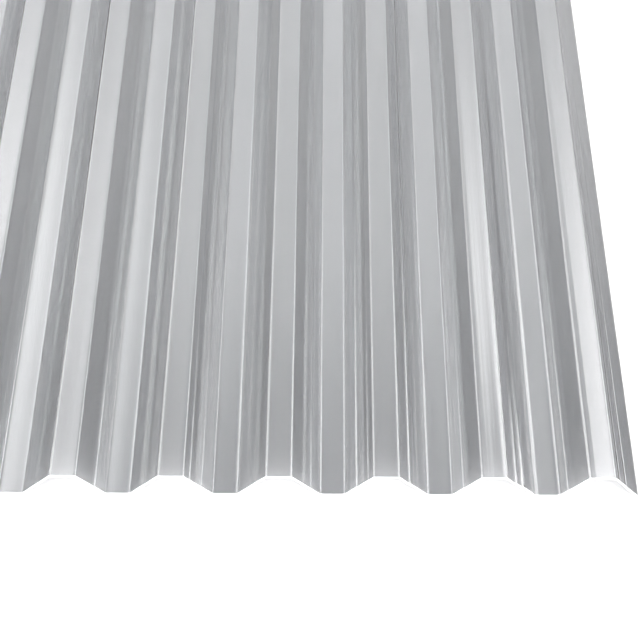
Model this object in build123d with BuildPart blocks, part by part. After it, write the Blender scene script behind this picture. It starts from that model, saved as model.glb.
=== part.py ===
from build123d import *
import os

# Trapezoidal acrylic sheet: one extruded sheet of constant thickness, whose flat crests and flat
# troughs are joined by sloping webs with rounded folds. X runs across the ribs, Y along them and
# Z up. The sheet lies on the undersides of its troughs, and the origin is under its middle.

# Driving dimensions in millimetres. Widths, runs and the rib height are those of the middle line,
# half way through the thickness, between the sharp corners that the folds round off.
sheet_length = 2000
sheet_thickness = 1.5
rib_count = 14
rib_pitch = 76  # crest to crest
rib_height = 18
crest_width = 18
trough_width = 18
edge_web_run = 16.5  # the outermost web on each side is steeper than the others
fold_radius = 2  # on the inside of each fold

# The middle line's corners, rib by rib from left to right
web_run = (rib_pitch - crest_width - trough_width) / 2
trough_level = sheet_thickness / 2
crest_level = trough_level + rib_height
first_rib_x = -rib_pitch * (rib_count - 1) / 2
corners = []
for rib in range(rib_count):
    crest_left = first_rib_x + rib * rib_pitch - crest_width / 2
    crest_right = crest_left + crest_width
    left_run = edge_web_run if rib == 0 else web_run
    right_run = edge_web_run if rib == rib_count - 1 else web_run
    corners += [
        (crest_left - left_run, trough_level),
        (crest_left, crest_level),
        (crest_right, crest_level),
        (crest_right + right_run, trough_level),
    ]

os.makedirs("parts", exist_ok=True)

# The sheet: its underside is half a thickness below the middle line, its top face is a whole
# thickness above the underside, and both long edges are square to their webs
with BuildPart() as sheet:
    with BuildSketch(Plane.XZ):
        with BuildLine():
            middle = FilletPolyline(
                *corners, radius=fold_radius + sheet_thickness / 2, mode=Mode.PRIVATE
            )
            underside = offset(
                middle, amount=sheet_thickness / 2, side=Side.RIGHT, closed=False, mode=Mode.PRIVATE
            )
            offset(underside.wire(), amount=sheet_thickness, side=Side.LEFT, mode=Mode.ADD)
        make_face()
    extrude(amount=sheet_length / 2, both=True)

sheet.part.label = "trapezoidal_sheet"
export_step(sheet.part, "parts/trapezoidal_sheet.step")
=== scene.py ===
import math

import bpy
import numpy as np
from mathutils import Matrix, Vector


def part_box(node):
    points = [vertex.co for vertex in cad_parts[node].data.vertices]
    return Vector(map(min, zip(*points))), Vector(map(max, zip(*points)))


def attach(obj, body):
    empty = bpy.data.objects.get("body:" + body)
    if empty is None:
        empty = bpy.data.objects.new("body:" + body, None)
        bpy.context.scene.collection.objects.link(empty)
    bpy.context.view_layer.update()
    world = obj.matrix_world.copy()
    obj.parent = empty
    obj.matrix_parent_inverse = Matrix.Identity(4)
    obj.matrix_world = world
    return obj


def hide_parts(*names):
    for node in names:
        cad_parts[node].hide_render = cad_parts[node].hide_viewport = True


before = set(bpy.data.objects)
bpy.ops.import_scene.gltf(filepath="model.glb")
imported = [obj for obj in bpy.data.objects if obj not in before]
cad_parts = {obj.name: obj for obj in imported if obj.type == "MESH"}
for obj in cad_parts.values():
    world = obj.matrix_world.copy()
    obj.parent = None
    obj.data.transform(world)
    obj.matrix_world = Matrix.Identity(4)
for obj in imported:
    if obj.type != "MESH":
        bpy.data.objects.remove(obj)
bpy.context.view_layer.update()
scene = bpy.context.scene
nodeLow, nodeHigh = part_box("trapezoidal_sheet")
print("frame loaded:", sorted(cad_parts))


# the sheet, in metres; length and overall height come from the frame
sheet = {
    "ribs": 14,
    "pitch": 0.076,        # crest to crest
    "crest": 0.018,        # middle line, between sharp corners
    "trough": 0.018,
    "edgeRun": 0.01647,    # the outermost webs are steeper
    "thickness": 0.0015,
    "crestReach": 0.0007,  # how far a fold spreads to each side of its corner
    "troughReach": 0.001,
    "foldShares": {8: 0.6, 9: 0.75, 13: 1.5},  # share of that reach on the folds of these ribs
    "crestDish": 0.00006,      # the crests sag a little between their folds
    "troughCrown": 0.00012,    # and the troughs rise
    "flatTroughs": {12: 0.3},  # share of that crown in the troughs right of these ribs
    "foldStep": 0.00018,   # spacing of the points at a fold
    "foldGrowth": 0.3,     # how the spacing grows with the distance from the fold
    "webStep": 0.0006,     # widest spacing in a web
    "flatStep": 0.0012,
    "runSamples": 2001,    # points at which the spacing is worked out in each run
    "rows": 22,            # along the length
    "endCrowd": 0.8,       # 0 spaces the rows evenly, 1 crowds them at the ends
    "room": 0.00007,       # kept free for the ripples inside the CAD box
    "rippleSpans": (0.0137, 0.0223, 0.0371),  # across the sheet
    "rippleSlopes": (0.025, 0.025, 0.04),     # degrees
    "rippleDrifts": (2.3, -3.1, 4.7),         # length in which a ripple slides by its span
    "rippleSwell": {"span": 0.9, "share": 0.5},    # ripples grow and shrink along the sheet
    "rippleWander": {"span": 0.213, "turn": 2.0},  # and crowd and spread across it; turn in radians
    "facets": {"count": (6, 11), "tilt": 0.9, "joint": 0.0003, "slide": 0.0012},  # drawn into every web
    # stronger facets and creases: rib, side, share of the web below the crest, width, degrees flatter,
    # how far the share slides in a metre, and the length in which the streak dies away
    "streaks": (
        (8, "right", 0.63, 0.0008, 17.0, 0.0, 0.8),
        (9, "right", 0.2, 0.0008, 17.0, 0.0, 0.8),
        (9, "right", 0.61, 0.0008, 17.0, 0.0, 0.8),
        (10, "right", 0.67, 0.0011, 18.0, 0.0, 0.8),
        (11, "left", 0.18, 0.0008, 17.0, 0.0, 0.8),
        (12, "left", 0.62, 0.0008, 17.0, 0.0, 0.8),
        (13, "left", 0.72, 0.0008, 17.0, 0.0, 0.8),
        (8, "left", 0.5, 0.004, 2.6, 0.0, 9.0),
        (9, "left", 0.52, 0.006, 4.2, 0.0, 9.0),
        (10, "left", 0.65, 0.0016, 6.0, 0.0, 0.6),
        (11, "left", 0.58, 0.0014, 23.0, 0.0, 1.2),
        (11, "right", 0.35, 0.0014, 25.0, 0.02, 9.0),
        (11, "right", 0.52, 0.0011, 18.0, 0.0, 0.4),
        (12, "right", 0.31, 0.0024, 27.0, 0.25, 0.45),
        (12, "right", 0.54, 0.0026, 27.0, -0.35, 0.4),
        (13, "right", 0.15, 0.0014, -9.0, 0.0, 0.6),
        (13, "right", 0.45, 0.0016, -9.0, 0.0, 0.6),
    ),
    # crests that lean right: degrees at the near end, degrees further on, and the length of the change
    "leans": {8: (0.15, 0.15, 1.0), 12: (1.25, 2.0, 0.15)},
    "seed": 7,
}
streakFields = ("rib", "side", "share", "width", "tilt", "slide", "reach")
sheet["streaks"] = [dict(zip(streakFields, row)) for row in sheet["streaks"]]


# corners of the middle line, rib by rib: foot, crest left, crest right, foot
def middleCorners(spec, low, high):
    ribs = np.arange(spec["ribs"])
    centre = (ribs - (spec["ribs"] - 1) / 2) * spec["pitch"]
    webRun = (spec["pitch"] - spec["crest"] - spec["trough"]) / 2
    leftRun = np.where(ribs == 0, spec["edgeRun"], webRun)
    rightRun = np.where(ribs == spec["ribs"] - 1, spec["edgeRun"], webRun)
    half = spec["crest"] / 2
    x = np.stack([centre - half - leftRun, centre - half, centre + half, centre + half + rightRun], 1)
    z = np.broadcast_to(np.array([low, high, high, low]), x.shape)
    return np.stack([x.ravel(), z.ravel()], 1)


# stations of the points across: the spacing grows from foldStep at a run's ends to the run's widest step,
# and the points stand at equal steps of the running sum of length over spacing; every streak gets closer
# points, four to its width
def lineStations(spec, station):
    parts = []
    for run, (start, stop) in enumerate(zip(station[:-1], station[1:])):
        widest = spec["webStep"] if run % 2 == 0 else spec["flatStep"]
        fine = np.linspace(start, stop, spec["runSamples"])
        toEnd = np.minimum(fine - start, stop - fine)
        spacing = np.minimum(spec["foldStep"] + spec["foldGrowth"] * toEnd, widest)
        for streak in spec["streaks"]:
            if streakWeb(streak) == run:
                off = np.abs(fine - start - streakShare(streak) * (stop - start)) - streak["width"]
                closer = streak["width"] / 4 + spec["foldGrowth"] * np.maximum(off, 0.0)
                spacing = np.minimum(spacing, closer)
        count = np.r_[0.0, np.cumsum(np.diff(fine) * 2 / (spacing[1:] + spacing[:-1]))]
        steps = math.ceil(count[-1])
        parts.append(np.interp(np.arange(steps) / steps * count[-1], count, fine))
    return np.r_[np.concatenate(parts), station[-1]]


# the run that a streak lies in, and its share of that run from the left
def streakWeb(streak):
    return 4 * streak["rib"] + (2 if streak["side"] == "right" else 0)


def streakShare(streak):
    return streak["share"] if streak["side"] == "right" else 1.0 - streak["share"]


# the middle line: straight runs between the corners, each corner rounded by a hyperbola, which moves the
# sharp line by half of (root of reach squared plus distance squared, less distance) times the change of
# direction there
def middleLine(spec, corners, reach):
    step = np.diff(corners, axis=0)
    runLength = np.linalg.norm(step, axis=1)
    along = step / runLength[:, None]
    station = np.r_[0.0, np.cumsum(runLength)]
    across = lineStations(spec, station)
    run = runOf(across, station)
    sharp = corners[run] + along[run] * (across - station[run])[:, None]
    bend = np.diff(along, axis=0)
    distance = across[:, None] - station[None, 1:-1]
    root = np.sqrt(reach[None] ** 2 + distance ** 2)
    points = sharp + 0.5 * (root - np.abs(distance)) @ bend
    tangent = along[0] + 0.5 * (1.0 + distance / root) @ bend
    normal = np.stack([-tangent[:, 1], tangent[:, 0]], 1) / np.linalg.norm(tangent, axis=1)[:, None]
    return points, normal, across, station


# which run a station lies in; web, crest, web and trough come round in turn
def runOf(across, station):
    return np.clip(np.searchsorted(station, across, side="right") - 1, 0, len(station) - 2)


# ripples drawn out along the sheet: sines across it whose phase drifts slowly along it, as heights off the
# middle line; a sine's height is its slope times its span over two pi
def drawRipples(spec, across, along):
    rng = np.random.default_rng(spec["seed"])
    height = np.zeros((along.size, across.size))
    swelling, wandering = spec["rippleSwell"], spec["rippleWander"]
    for span, slope, drift in zip(spec["rippleSpans"], spec["rippleSlopes"], spec["rippleDrifts"]):
        phase, swellPhase, wander = rng.uniform(0.0, 2 * math.pi, 3)
        swell = 1.0 + swelling["share"] * np.sin(2 * math.pi * along / swelling["span"] + swellPhase)
        turn = 2 * math.pi * (across[None] / span + along[:, None] / drift) + phase
        turn = turn + wandering["turn"] * np.sin(2 * math.pi * across[None] / wandering["span"] + wander)
        height += math.radians(slope) * span / (2 * math.pi) * swell[:, None] * np.sin(turn)
    return height


# crests sag and troughs rise between their folds, each by its depth times (1 less the square of the distance
# from the middle over half the width); webs stay straight
def flatBows(spec, across, station):
    run = runOf(across, station)
    span = station[run + 1] - station[run]
    offMiddle = (across - station[run]) / span * 2.0 - 1.0
    crownShare = [spec["flatTroughs"].get(rib, 1.0) for rib in range(spec["ribs"])]
    crown = spec["troughCrown"] * np.array(crownShare)
    depth = np.choose(run % 4, [0.0, -spec["crestDish"], 0.0, crown[run // 4]])
    return depth * (1.0 - offMiddle ** 2)


# a leaning crest falls evenly from its left fold to its right one, and the next web brings it back to
# nothing; the angle nears its further value by an exponential of the distance from the near end
def crestLeans(spec, across, along, station):
    height = np.zeros((along.size, across.size))
    for rib, (nearAngle, farAngle, length) in spec["leans"].items():
        left, right, foot = station[4 * rib + 1:4 * rib + 4]
        angle = farAngle + (nearAngle - farAngle) * np.exp(-(along - along[0]) / length)
        fall = np.interp(across, (left, right, foot), (0.0, left - right, 0.0))
        height += np.tan(np.radians(angle))[:, None] * fall[None]
    return height


# facets drawn into the webs: between joints at random places the web is tilted by random angles, with the
# step at a joint softened by a hyperbolic tangent; joints slide and tilts change evenly from the near end to
# the far one; a streak adds its tilt over its width, dying away by an exponential of the distance from the
# near end; the height is the running sum of slope times spacing, less the straight line that would miss the
# web's end
def webFacets(spec, across, along, station):
    facets = spec["facets"]
    rng = np.random.default_rng(spec["seed"])
    height = np.zeros((along.size, across.size))
    way = ((along - along[0]) / (along[-1] - along[0]))[:, None]
    for web in range(0, len(station) - 1, 2):
        start, stop = station[web:web + 2]
        onWeb = (across >= start) & (across <= stop)
        place = across[onWeb] - start
        count = rng.integers(*facets["count"])
        joints = np.sort(rng.uniform(0.0, stop - start, count))
        joints = joints + way * rng.normal(0.0, facets["slide"], count)
        nearTilts, farTilts = rng.normal(0.0, facets["tilt"], (2, count + 1))
        tilts = nearTilts + way * (farTilts - nearTilts)
        turned = 0.5 + 0.5 * np.tanh((place[None, None] - joints[..., None]) / facets["joint"])
        slope = tilts[:, :1] + (np.diff(tilts, axis=1)[..., None] * turned).sum(1)
        for streak in spec["streaks"]:
            if streakWeb(streak) == web:
                fromNear = (along - along[0])[:, None]
                centre = (streakShare(streak) + streak["slide"] * fromNear) * (stop - start)
                off = np.abs(place[None] - centre) - streak["width"] / 2
                flatter = streak["tilt"] if streak["side"] == "right" else -streak["tilt"]
                fade = np.exp(-fromNear / streak["reach"])
                soft = min(facets["joint"], streak["width"] / 4)
                slope = slope + flatter * fade * (0.5 - 0.5 * np.tanh(off / soft))
        rise = np.tan(np.radians(slope))
        climb = (rise[:, 1:] + rise[:, :-1]) / 2 * np.diff(place)
        climb = np.concatenate([np.zeros((along.size, 1)), np.cumsum(climb, 1)], 1)
        height[:, onWeb] = climb - climb[:, -1:] * place / place[-1]
    return height


# a section carried straight along Y: row r, point c of the grid is the middle line moved by its normal times
# plus or minus half the thickness; both faces make one closed loop, and strips close its two ends
def sheetSurface(spec):
    halfThick = spec["thickness"] / 2
    corners = middleCorners(spec, nodeLow.z + halfThick + spec["room"], nodeHigh.z - halfThick - spec["room"])
    reach = np.array([spec["troughReach"], spec["crestReach"], spec["crestReach"], spec["troughReach"]])
    tight = np.array([spec["foldShares"].get(rib, 1.0) for rib in range(spec["ribs"])])
    reach = (tight[:, None] * reach).ravel()
    points, normal, across, station = middleLine(spec, corners, reach[1:-1])
    share = np.linspace(-1.0, 1.0, spec["rows"])
    crowd = spec["endCrowd"]
    share = (1.0 - crowd) * share + crowd * np.sin(share * math.pi / 2)
    along = (nodeLow.y + nodeHigh.y) / 2 + share * (nodeHigh.y - nodeLow.y) / 2
    height = drawRipples(spec, across, along) + flatBows(spec, across, station)[None]
    height += crestLeans(spec, across, along, station) + webFacets(spec, across, along, station)
    shift = height[..., None] * normal[None]
    top = points[None] + halfThick * normal[None] + shift
    under = points[None] - halfThick * normal[None] + shift
    loop = np.concatenate([top, under[:, ::-1]], 1)
    grid = np.stack([loop[..., 0], np.broadcast_to(along[:, None], loop.shape[:2]), loop[..., 1]], -1)
    return grid, across.size


# quads of the loop's side walls and of the two ends, as index arrays
def sheetFaces(rows, loopCount, lineCount):
    row = np.arange(rows - 1)[:, None] * loopCount
    here = np.arange(loopCount)[None]
    after = (here + 1) % loopCount
    nextRow = row + loopCount
    walls = np.stack([row + here, row + after, nextRow + after, nextRow + here], -1).reshape(-1, 4)
    upper = np.arange(lineCount - 1)
    mate = loopCount - 1 - upper
    near = np.stack([upper, mate, mate - 1, upper + 1], -1)
    far = near[:, ::-1] + (rows - 1) * loopCount
    return walls, near, far


# a mesh from an array of points and an array of four indices for each face
def meshFromArrays(name, vertices, quads):
    mesh = bpy.data.meshes.new(name)
    mesh.vertices.add(len(vertices))
    mesh.vertices.foreach_set("co", vertices.astype(np.float32).ravel())
    mesh.loops.add(quads.size)
    mesh.loops.foreach_set("vertex_index", quads.astype(np.int32).ravel())
    mesh.polygons.add(len(quads))
    mesh.polygons.foreach_set("loop_start", np.arange(0, quads.size, 4, dtype=np.int32))
    mesh.update(calc_edges=True)
    mesh.validate()
    return mesh


# edges round the two ends and along both long edges, where the shading breaks
def cutCorners(mesh, rows, loopCount, lineCount):
    ends = np.zeros(len(mesh.edges) * 2, np.int32)
    mesh.edges.foreach_get("vertices", ends)
    row, column = np.divmod(ends.reshape(-1, 2), loopCount)
    roundEnds = (row == 0).all(1) | (row == rows - 1).all(1)
    edgeColumns = (0, lineCount - 1, lineCount, loopCount - 1)
    alongEdges = (column[:, 0] == column[:, 1]) & np.isin(column[:, 0], edgeColumns)
    return roundEnds | alongEdges


# the two faces are smooth and clear, the ends and the long edges flat and sawn
def makeSheet(spec):
    grid, lineCount = sheetSurface(spec)
    rows, loopCount = grid.shape[:2]
    walls, near, far = sheetFaces(rows, loopCount, lineCount)
    quads = np.concatenate([walls, near, far])
    mesh = meshFromArrays("acrylicSheet", grid.reshape(-1, 3), quads)
    column = np.arange(len(walls)) % loopCount
    edgeWall = (column == lineCount - 1) | (column == loopCount - 1)  # the two long edges
    isCut = np.r_[edgeWall, np.ones(len(near) + len(far), bool)]
    mesh.polygons.foreach_set("material_index", isCut.astype(np.int32))
    mesh.polygons.foreach_set("use_smooth", ~isCut)
    mesh.edges.foreach_set("use_edge_sharp", cutCorners(mesh, rows, loopCount, lineCount))
    return mesh


sheetMesh = makeSheet(sheet)
sheetPiece = bpy.data.objects.new("acrylicSheet", sheetMesh)
scene.collection.objects.link(sheetPiece)
print("sheet:", len(sheetMesh.vertices), "vertices,", len(sheetMesh.polygons), "faces")


# node helpers shared by the finishes and the light
def nodeTools(tree):
    nodes, links = tree.nodes, tree.links

    def plug(value, socket):
        if isinstance(value, (int, float)):
            socket.default_value = value
        else:
            links.new(value, socket)

    def maths(operation, *values):
        node = nodes.new("ShaderNodeMath")
        node.operation = operation
        for value, socket in zip(values, node.inputs):
            plug(value, socket)
        return node.outputs[0]

    def ramp(value, low, high, fromValue=0.0, toValue=1.0):
        node = nodes.new("ShaderNodeMapRange")
        node.interpolation_type = "SMOOTHSTEP"
        links.new(value, node.inputs["Value"])
        limits = {"From Min": low, "From Max": high, "To Min": fromValue, "To Max": toValue}
        for name, number in limits.items():
            node.inputs[name].default_value = number
        return node.outputs["Result"]

    return maths, ramp


# noise on Object coordinates, with so many patches a metre along X, Y and Z
def grain(tree, patches, detail=2.0):
    place = tree.nodes.new("ShaderNodeTexCoord")
    mapping = tree.nodes.new("ShaderNodeMapping")
    mapping.inputs["Scale"].default_value = patches
    noise = tree.nodes.new("ShaderNodeTexNoise")
    noise.inputs["Scale"].default_value = 1.0
    noise.inputs["Detail"].default_value = detail
    tree.links.new(place.outputs["Object"], mapping.inputs["Vector"])
    tree.links.new(mapping.outputs["Vector"], noise.inputs["Vector"])
    return noise.outputs["Fac"]


# a blend of two colours by a share from 0 to 1
def mixColours(tree, share, first, second):
    mix = tree.nodes.new("ShaderNodeMix")
    mix.data_type = "RGBA"
    tree.links.new(share, mix.inputs["Factor"])
    mix.inputs[6].default_value = (*first, 1.0)  # 6, 7 and 2 are the node's colour sockets
    mix.inputs[7].default_value = (*second, 1.0)
    return mix.outputs[2]


def addBump(tree, height, shader):
    bump = tree.nodes.new("ShaderNodeBump")
    bump.inputs["Strength"].default_value = 1.0
    bump.inputs["Distance"].default_value = 1.0  # heights come in metres
    tree.links.new(height, bump.inputs["Height"])
    tree.links.new(bump.outputs["Normal"], shader.inputs["Normal"])


# an empty material with one Principled shader at its output
def newMaterial(name):
    material = bpy.data.materials.new(name)
    material.use_nodes = True
    tree = material.node_tree
    tree.nodes.clear()
    output = tree.nodes.new("ShaderNodeOutputMaterial")
    shader = tree.nodes.new("ShaderNodeBsdfPrincipled")
    tree.links.new(shader.outputs["BSDF"], output.inputs["Surface"])
    return material, tree, shader


# clear grey acrylic with painted light in its grey: lighter in the troughs, to lift the shade on the floor
# seen through them, and in stripes low on the webs, for light those parts mirror;
# faint patches of tone, fine smudges in the gloss, and faint draw lines that run the length of the sheet
acrylicFinish = {
    "ior": 1.49,
    "tintsWithPaintedLight": ((0.61, 0.617, 0.6285), (0.71, 0.7195, 0.7345)),  # what one pass through the sheet keeps: the acrylic's own grey, and a lighter grey that paints light in
    "troughPaintedLight": 0.334,  # painted light: how much of the step between the two greys the troughs take, lifting the shade on the floor seen through them
    "troughRim": (-0.004, 0.001),     # from where to where that sets in, past the trough's corner
    "paintedBandShares": (0.3, 0.85),        # painted light stripes: share of the step between the two greys at their darkest and lightest
    "paintedBandRim": (-0.0005, 0.0015),     # past the middle of the web
    "edgeRim": (-0.001, 0.001),       # the painted light stripes end here, past the start of the outermost webs
    "paintedLightBands": (150.0, 0.12, 0.0),      # grain of the painted light stripes, in patches a metre, and so are the next three
    "tintPatches": (9.0, 1.5, 9.0),
    "smudges": (40.0, 6.0, 40.0),
    "drawLines": (400.0, 0.3, 0.0),
    "paintedBandLimits": (0.35, 0.65),       # grain values that make the darkest and the lightest
    "patchLimits": (0.3, 0.7),
    "smudgeLimits": (0.45, 0.8),
    "patchShare": 0.046,              # share of the step between the two greys, for the patches at their lightest
    "roughness": (0.008, 0.03),       # clean and smudged
    "lineDepth": 0.000006,
}


def acrylicMaterial(spec):
    material, tree, shader = newMaterial("clearGreyAcrylic")
    maths, ramp = nodeTools(tree)
    shader.inputs["Transmission Weight"].default_value = 1.0
    shader.inputs["IOR"].default_value = spec["ior"]
    split = tree.nodes.new("ShaderNodeSeparateXYZ")
    tree.links.new(tree.nodes.new("ShaderNodeTexCoord").outputs["Object"], split.inputs[0])
    # distance from the nearest crest's middle
    halfPitch = sheet["pitch"] / 2
    fromCrest = maths("PINGPONG", maths("SUBTRACT", split.outputs["X"], halfPitch), halfPitch)
    troughStart = (sheet["pitch"] - sheet["trough"]) / 2
    webMiddle = (sheet["crest"] / 2 + troughStart) / 2
    edgeStart = (sheet["ribs"] - 1) / 2 * sheet["pitch"] + sheet["crest"] / 2
    # painted light: the troughs take a lighter grey, lifting the shade that the floor seen through them lies
    # in
    trough = ramp(fromCrest, *(troughStart + rim for rim in spec["troughRim"]))
    belowMiddle = ramp(fromCrest, *(webMiddle + rim for rim in spec["paintedBandRim"]))
    lowOnWeb = maths("MULTIPLY", belowMiddle, maths("SUBTRACT", 1.0, trough))
    fromMiddle = maths("ABSOLUTE", split.outputs["X"])
    inner = ramp(fromMiddle, *(edgeStart + rim for rim in spec["edgeRim"]), 1.0, 0.0)
    # painted light: lighter stripes low on the webs, standing in for the light that those parts mirror and
    # let through
    paintedLightBands = ramp(grain(tree, spec["paintedLightBands"], detail=1.0), *spec["paintedBandLimits"], *spec["paintedBandShares"])
    paintedLightBands = maths("MULTIPLY", paintedLightBands, maths("MULTIPLY", lowOnWeb, inner))
    patches = ramp(grain(tree, spec["tintPatches"]), *spec["patchLimits"], 0.0, spec["patchShare"])
    # the share of the lighter grey: painted light in the troughs and the stripes, plus random patches of tone
    share = maths("ADD", maths("MULTIPLY", trough, spec["troughPaintedLight"]), maths("ADD", paintedLightBands, patches))
    tintWithPaintedLight = mixColours(tree, share, *spec["tintsWithPaintedLight"])
    tree.links.new(tintWithPaintedLight, shader.inputs["Base Color"])
    smudges = ramp(grain(tree, spec["smudges"], detail=4.0), *spec["smudgeLimits"], *spec["roughness"])
    tree.links.new(smudges, shader.inputs["Roughness"])
    drawLines = grain(tree, spec["drawLines"], detail=1.0)
    addBump(tree, maths("MULTIPLY", drawLines, spec["lineDepth"]), shader)
    return material


# the sawn edge: pale and frosted, with saw marks across the thickness
sawnFinish = {
    "colours": ((0.86, 0.87, 0.87), (0.94, 0.95, 0.95)),
    "marks": (700.0, 700.0, 60.0),  # per metre
    "markLimits": (0.3, 0.7),
    "roughness": (0.35, 0.6),
    "depth": 0.00004,
    "clearShare": 0.15,             # how much of the edge still lets light through
}


def sawnMaterial(spec):
    material, tree, shader = newMaterial("sawnAcrylicEdge")
    maths, ramp = nodeTools(tree)
    shader.inputs["Transmission Weight"].default_value = spec["clearShare"]
    shader.inputs["IOR"].default_value = acrylicFinish["ior"]
    marks = grain(tree, spec["marks"], detail=3.0)
    colour = mixColours(tree, ramp(marks, *spec["markLimits"]), *spec["colours"])
    tree.links.new(colour, shader.inputs["Base Color"])
    roughness = ramp(marks, *spec["markLimits"], *spec["roughness"])
    tree.links.new(roughness, shader.inputs["Roughness"])
    addBump(tree, maths("MULTIPLY", marks, spec["depth"]), shader)
    return material


sheetMesh.materials.append(acrylicMaterial(acrylicFinish))
sheetMesh.materials.append(sawnMaterial(sawnFinish))
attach(sheetPiece, "root")
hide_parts("trapezoidal_sheet")
print("materials:", [material.name for material in sheetMesh.materials])


# floor and studio light; directions in degrees, azimuth from the far end towards the right;
# plan is how far right a direction leads for each metre up
studio = {
    "floorSize": 40.0,
    "floorDrop": 0.0003,       # just under the sheet, so the faces don't lie in one plane
    "floorColour": (0.8, 0.8, 0.8, 1.0),
    "floorRoughness": 0.9,
    "backdropLight": 1.3,      # what the camera itself sees beyond the floor
    "horizonLight": 0.05,
    "skyLight": 1.3,
    "skyRise": (12.0, 75.0),
    "lowestRise": 0.05,        # in plan, directions that rise less count as rising this much
    # between the panels the light fades upwards
    "backGlow": {"azimuth": (-34.0, -16.0, 16.0, 34.0), "elevation": (13.0, 20.0), "fade": (40.0, 47.5),
                 "light": (3.2, 1.0)},
    # slope: how far a box's top and bottom drop for each degree away from the middle
    "softBoxes": {
        "lowBack": {"azimuth": (-47.0, -36.0, 36.0, 47.0), "elevation": (-20.0, -10.0, 12.0, 20.0),
                    "slope": 0.0, "light": 0.95},
        "underGlow": {"azimuth": (28.0, 34.0, 56.0, 62.0), "elevation": (-44.0, -36.0, -19.0, -15.0),
                      "slope": 0.0, "light": 3.4},
        "leftGlow": {"plan": (-0.42, -0.33, -0.25, -0.055), "elevation": (35.0, 47.0, 54.0, 58.0),
                     "slope": 0.5, "light": 7.7},
        "rightHaze": {"plan": (0.05, 0.13, 0.25, 0.43), "elevation": (40.0, 50.0, 54.0, 58.0),
                      "slope": 0.5, "light": 2.4},
        "rightGlow": {"plan": (0.15, 0.18, 0.25, 0.43), "elevation": (37.0, 49.0, 54.0, 58.0),
                      "slope": 0.5, "light": 9.4},
        "leftPanel": {"azimuth": (-43.0, -41.0, -26.0, -20.0), "elevation": (37.0, 48.0, 54.0, 58.0),
                      "slope": 0.5, "light": 9.0},
        "rightPanel": {"azimuth": (20.0, 26.0, 44.0, 46.0), "elevation": (41.0, 48.0, 54.0, 58.0),
                       "slope": 0.5, "light": 11.0},
    },
    # lights the floor and the frosted edge, and isn't mirrored
    "frontFill": {"azimuth": 180.0, "elevation": 30.0, "spread": 60.0, "strength": 6.2},
}


def makeFloor(spec):
    half = spec["floorSize"] / 2
    z = nodeLow.z - spec["floorDrop"]
    mesh = bpy.data.meshes.new("studioFloor")
    corners = [(-half, -half, z), (half, -half, z), (half, half, z), (-half, half, z)]
    mesh.from_pydata(corners, [], [(0, 1, 2, 3)])
    floor = bpy.data.objects.new("studioFloor", mesh)
    scene.collection.objects.link(floor)
    material, _, shader = newMaterial("paleFloor")
    shader.inputs["Base Color"].default_value = spec["floorColour"]
    shader.inputs["Roughness"].default_value = spec["floorRoughness"]
    shader.inputs["Specular IOR Level"].default_value = 0.0
    mesh.materials.append(material)
    floor.visible_glossy = False  # the outermost webs mirror what lies beyond it instead


# a world whose brightness depends on direction: a sky that brightens upwards, a glow behind the far end,
# and soft boxes, each mixed over what lies behind it by ramps at its four sides
def makeWorld(spec):
    world = bpy.data.worlds.new("studioLight")
    scene.world = world
    world.use_nodes = True
    nodes, links = world.node_tree.nodes, world.node_tree.links
    nodes.clear()

    maths, ramp = nodeTools(world.node_tree)

    def between(value, sides):
        rise, fall = ramp(value, *sides[:2]), ramp(value, *sides[2:], 1.0, 0.0)
        return maths("MULTIPLY", rise, fall)

    def mixOver(under, over, share):
        return maths("ADD", under, maths("MULTIPLY", share, maths("SUBTRACT", over, under)))

    place = nodes.new("ShaderNodeTexCoord")
    split = nodes.new("ShaderNodeSeparateXYZ")
    links.new(place.outputs["Generated"], split.inputs[0])
    azimuth = maths("DEGREES", maths("ARCTAN2", split.outputs["X"], split.outputs["Y"]))
    elevation = maths("DEGREES", maths("ARCSINE", split.outputs["Z"]))
    light = ramp(elevation, *spec["skyRise"], spec["horizonLight"], spec["skyLight"])
    glow = spec["backGlow"]
    glowShare = maths("MULTIPLY", between(azimuth, glow["azimuth"]), ramp(elevation, *glow["elevation"]))
    light = mixOver(light, ramp(elevation, *glow["fade"], *glow["light"]), glowShare)
    aside = maths("ABSOLUTE", azimuth)
    rising = maths("MAXIMUM", split.outputs["Z"], spec["lowestRise"])
    plan = maths("DIVIDE", split.outputs["X"], rising)
    for box in spec["softBoxes"].values():
        height = maths("ADD", elevation, maths("MULTIPLY", aside, box["slope"]))
        beside = between(plan, box["plan"]) if "plan" in box else between(azimuth, box["azimuth"])
        share = maths("MULTIPLY", beside, between(height, box["elevation"]))
        light = mixOver(light, box["light"], share)
    path = nodes.new("ShaderNodeLightPath")
    seen = mixOver(light, spec["backdropLight"], path.outputs["Is Camera Ray"])
    background = nodes.new("ShaderNodeBackground")
    output = nodes.new("ShaderNodeOutputWorld")
    links.new(seen, background.inputs["Strength"])
    links.new(background.outputs[0], output.inputs["Surface"])


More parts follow.
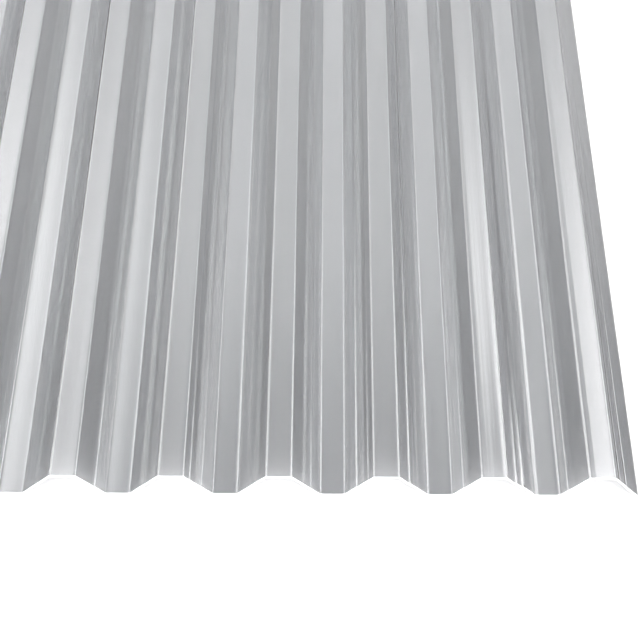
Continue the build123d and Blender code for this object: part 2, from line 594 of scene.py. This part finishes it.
# a broad sun before the near end, turned so that its rays come from the given direction; gloss doesn't
# mirror it
def makeFrontFill(spec):
    azimuth, elevation = math.radians(spec["azimuth"]), math.radians(spec["elevation"])
    level = math.cos(elevation)
    towards = Vector((math.sin(azimuth) * level, math.cos(azimuth) * level, math.sin(elevation)))
    light = bpy.data.lights.new("frontFill", "SUN")
    light.energy = spec["strength"]
    light.angle = math.radians(spec["spread"])
    fill = bpy.data.objects.new("frontFill", light)
    fill.matrix_world = towards.to_track_quat("Z", "Y").to_matrix().to_4x4()
    fill.visible_glossy = False
    scene.collection.objects.link(fill)


makeFloor(studio)
makeWorld(studio)
makeFrontFill(studio["frontFill"])
print("studio: floor, world light and front fill")


# the camera stands before the near end and looks down along the ribs
viewpoint = {
    "place": (0.2982, -2.0745, 1.1595),
    "pitchDown": 42.675,   # degrees
    "yawRight": -0.178,
    "roll": 0.144,
    "focalPixels": 2227.6,
    "framePixels": 640.0,
    "sensor": 36.0,        # millimetres
}


# camera axes from pitch, yaw and roll: forward along +Y turned down, right along +X
def makeCamera(spec):
    pitch, yaw, roll = (math.radians(spec[angle]) for angle in ("pitchDown", "yawRight", "roll"))
    level = math.cos(pitch)
    forward = Vector((math.sin(yaw) * level, math.cos(yaw) * level, -math.sin(pitch)))
    right = Vector((math.cos(yaw), -math.sin(yaw), 0.0))
    up = right.cross(forward)
    rightTurned = right * math.cos(roll) + up * math.sin(roll)
    upTurned = up * math.cos(roll) - right * math.sin(roll)
    data = bpy.data.cameras.new("photoCamera")
    data.sensor_width = spec["sensor"]
    data.lens = spec["focalPixels"] / spec["framePixels"] * spec["sensor"]
    camera = bpy.data.objects.new("photoCamera", data)
    scene.collection.objects.link(camera)
    turn = Matrix((rightTurned, upTurned, -forward)).transposed()
    camera.matrix_world = Matrix.Translation(spec["place"]) @ turn.to_4x4()
    scene.camera = camera


makeCamera(viewpoint)
scene.view_settings.view_transform = "Standard"
scene.cycles.use_denoising = True
scene.cycles.denoising_input_passes = "RGB_ALBEDO"  # normals behind clear walls would add grain
print("camera set")
